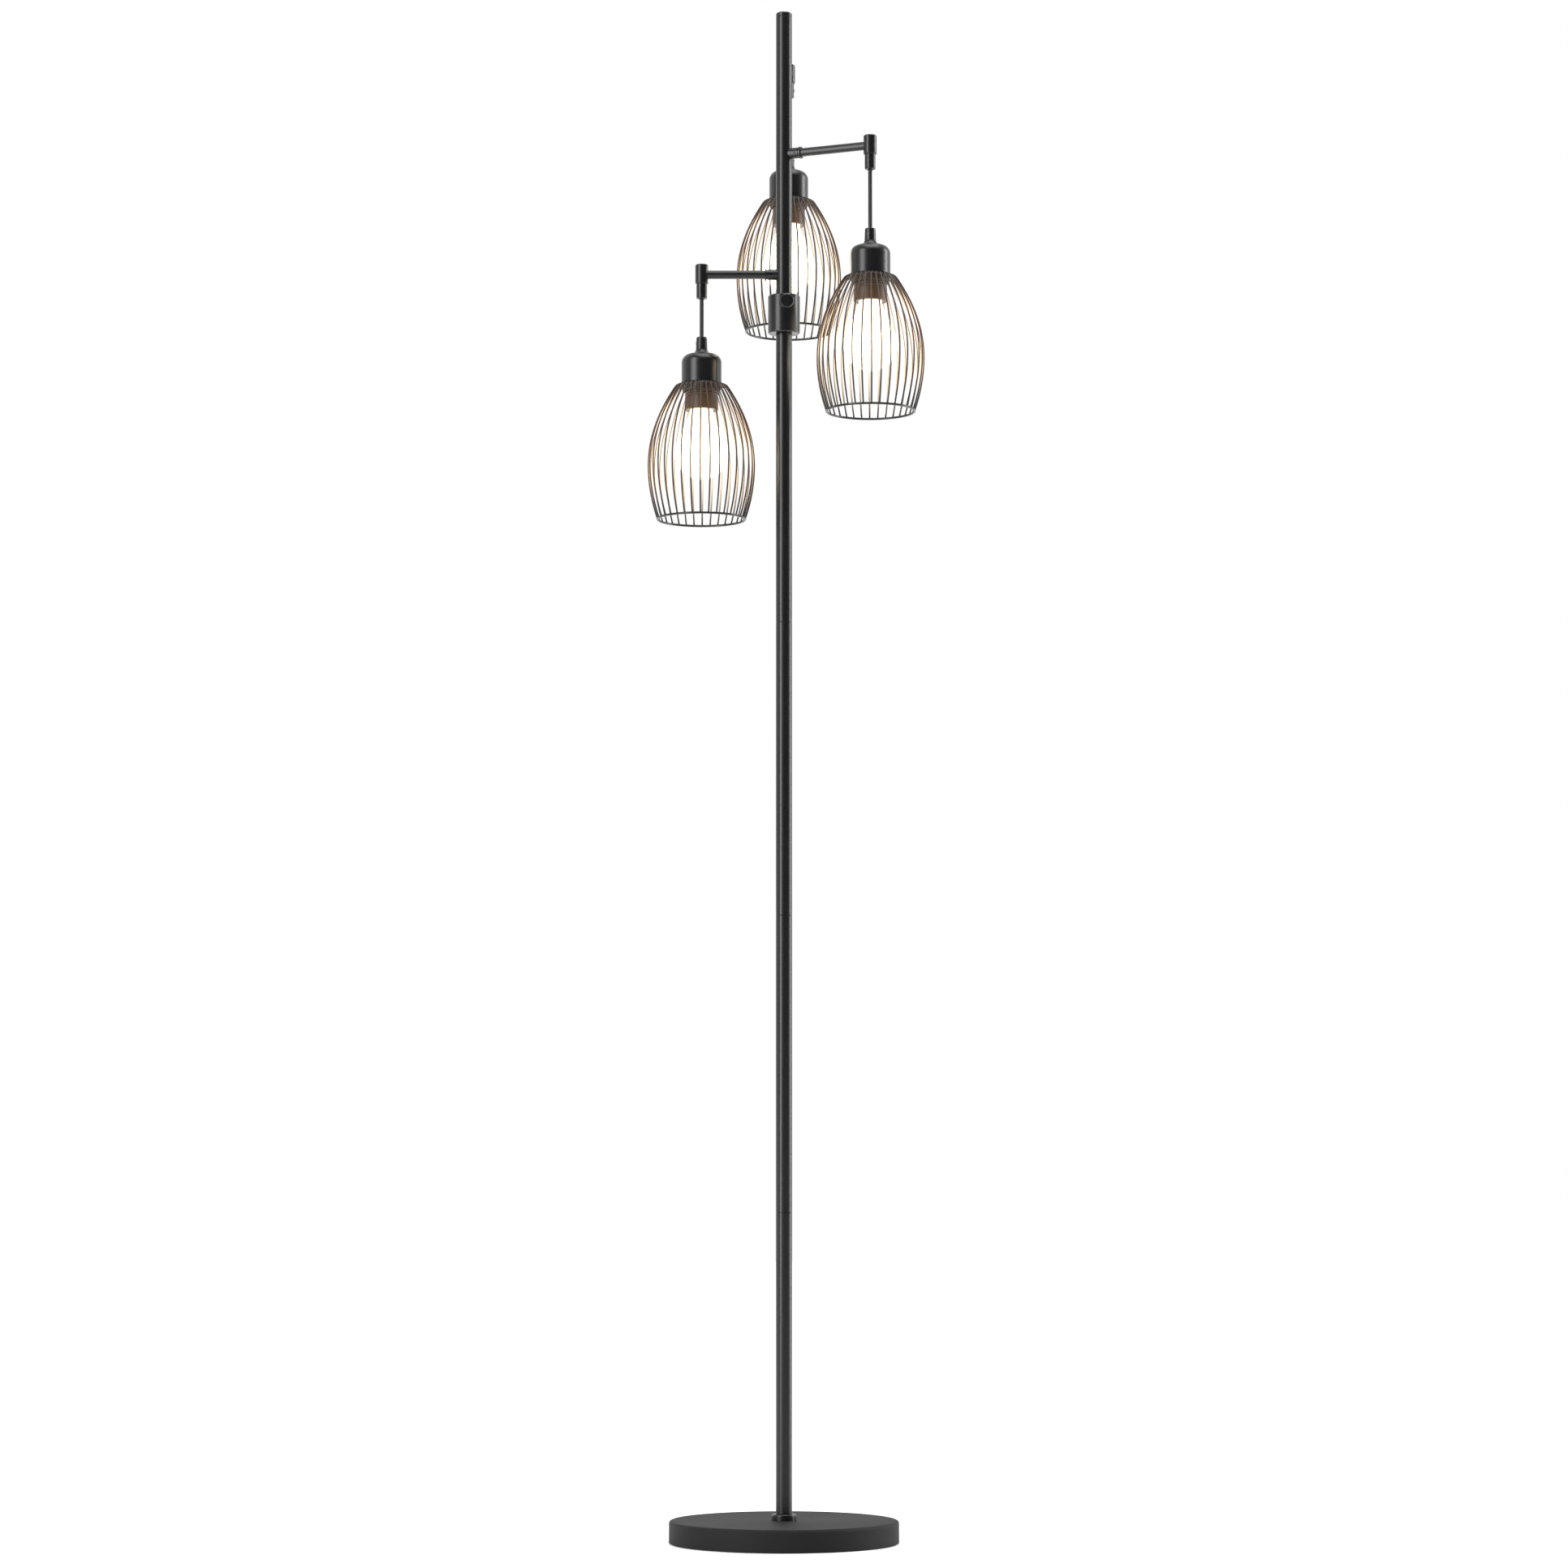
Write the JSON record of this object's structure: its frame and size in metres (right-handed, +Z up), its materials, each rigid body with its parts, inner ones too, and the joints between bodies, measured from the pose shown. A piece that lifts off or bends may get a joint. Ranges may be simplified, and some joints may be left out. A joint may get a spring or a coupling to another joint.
{
  "type": "floor lamp",
  "caption": "Black floor lamp: round base, slim pole with a knob switch, and short arms from which barrel-shaped wire cage lamps hang on short cords.",
  "frame": {"origin": "centre of the underside of the round base, on the floor, under the pole", "axes": "+Z up along the pole, -Y towards the side of the switch knob, +X to the viewer's right"},
  "size_m": [0.3075, 0.2887, 1.699],
  "materials": {
    "black_paint": "semi-gloss black powder coat",
    "casting": "rough casting",
    "foam": "black foam pad",
    "plastic": "moulded black plastic",
    "zinc": "zinc plated steel",
    "cable": "black cable sheath",
    "glass": "clear glass, lit from inside",
    "bulb_metal": "bright screw cap",
    "filament": "glowing filament on its post"
  },
  "bodies": {
    "stand": {"base_shell": "black_paint", "base_weight": "casting", "base_pad": "foam", "cord_inlet": "plastic", "foot_flange": "black_paint", "foot_stud": "zinc", "foot_washer": "zinc", "foot_nut": "zinc", "pole_section_1": "black_paint", "pole_section_2": "black_paint", "pole_section_3": "black_paint", "pole_section_4": "black_paint", "switch_housing": "black_paint", "switch_body": "plastic", "upper_pole": "black_paint", "top_cap": "black_paint", "supply_cable": "cable", "arm_leads": "cable", "set_screws": "zinc", "left_arm_boss": "black_paint", "left_arm_tube": "black_paint", "left_tee": "black_paint", "left_tee_gland": "black_paint", "right_arm_boss": "black_paint", "right_arm_tube": "black_paint", "right_tee": "black_paint", "right_tee_gland": "black_paint", "rear_arm_boss": "black_paint", "rear_arm_tube": "black_paint", "rear_tee": "black_paint", "rear_tee_gland": "black_paint"},
    "knob": {"switch_knob": "black_paint"},
    "left_cord_link": {"left_cord": "cable"},
    "left_lamp": {"left_cup_gland": "black_paint", "left_cup": "black_paint", "left_lampholder": "plastic", "left_ring_nut": "plastic", "left_cage": "black_paint", "left_bulb_glass": "glass", "left_bulb_base": "bulb_metal", "left_filament": "filament"},
    "right_cord_link": {"right_cord": "cable"},
    "right_lamp": {"right_cup_gland": "black_paint", "right_cup": "black_paint", "right_lampholder": "plastic", "right_ring_nut": "plastic", "right_cage": "black_paint", "right_bulb_glass": "glass", "right_bulb_base": "bulb_metal", "right_filament": "filament"},
    "rear_cord_link": {"rear_cord": "cable"},
    "rear_lamp": {"rear_cup_gland": "black_paint", "rear_cup": "black_paint", "rear_lampholder": "plastic", "rear_ring_nut": "plastic", "rear_cage": "black_paint", "rear_bulb_glass": "glass", "rear_bulb_base": "bulb_metal", "rear_filament": "filament"}
  },
  "joints": [
    {"name": "switch_turn", "type": "hinge", "parent": "stand", "child": "knob", "pos_m": [0, 0, 1.3644], "axis": [0.1219, -0.9925, 0], "continuous": true},
    {"name": "left_swing_out", "type": "hinge", "parent": "stand", "child": "left_cord_link", "pos_m": [-0.092, 0, 1.3738], "axis": [0, 1, 0], "range_deg": [-5, 30]},
    {"name": "left_swing_side", "type": "hinge", "parent": "left_cord_link", "child": "left_lamp", "pos_m": [-0.092, 0, 1.3268], "axis": [-1, 0, 0], "range_deg": [-20, 20]},
    {"name": "right_swing_out", "type": "hinge", "parent": "stand", "child": "right_cord_link", "pos_m": [0.09573, -0.04064, 1.5113], "axis": [-0.3907, -0.9205, 0], "range_deg": [-7, 30]},
    {"name": "right_swing_side", "type": "hinge", "parent": "right_cord_link", "child": "right_lamp", "pos_m": [0.09573, -0.04064, 1.4413], "axis": [0.9205, -0.3907, 0], "range_deg": [-20, 20]},
    {"name": "rear_swing_out", "type": "hinge", "parent": "stand", "child": "rear_cord_link", "pos_m": [0.00544, 0.10386, 1.6303], "axis": [0.9986, -0.0523, 0], "range_deg": [-6, 30]},
    {"name": "rear_swing_side", "type": "hinge", "parent": "rear_cord_link", "child": "rear_lamp", "pos_m": [0.00544, 0.10386, 1.5603], "axis": [0.0523, 0.9986, 0], "range_deg": [-20, 20]}
  ]
}
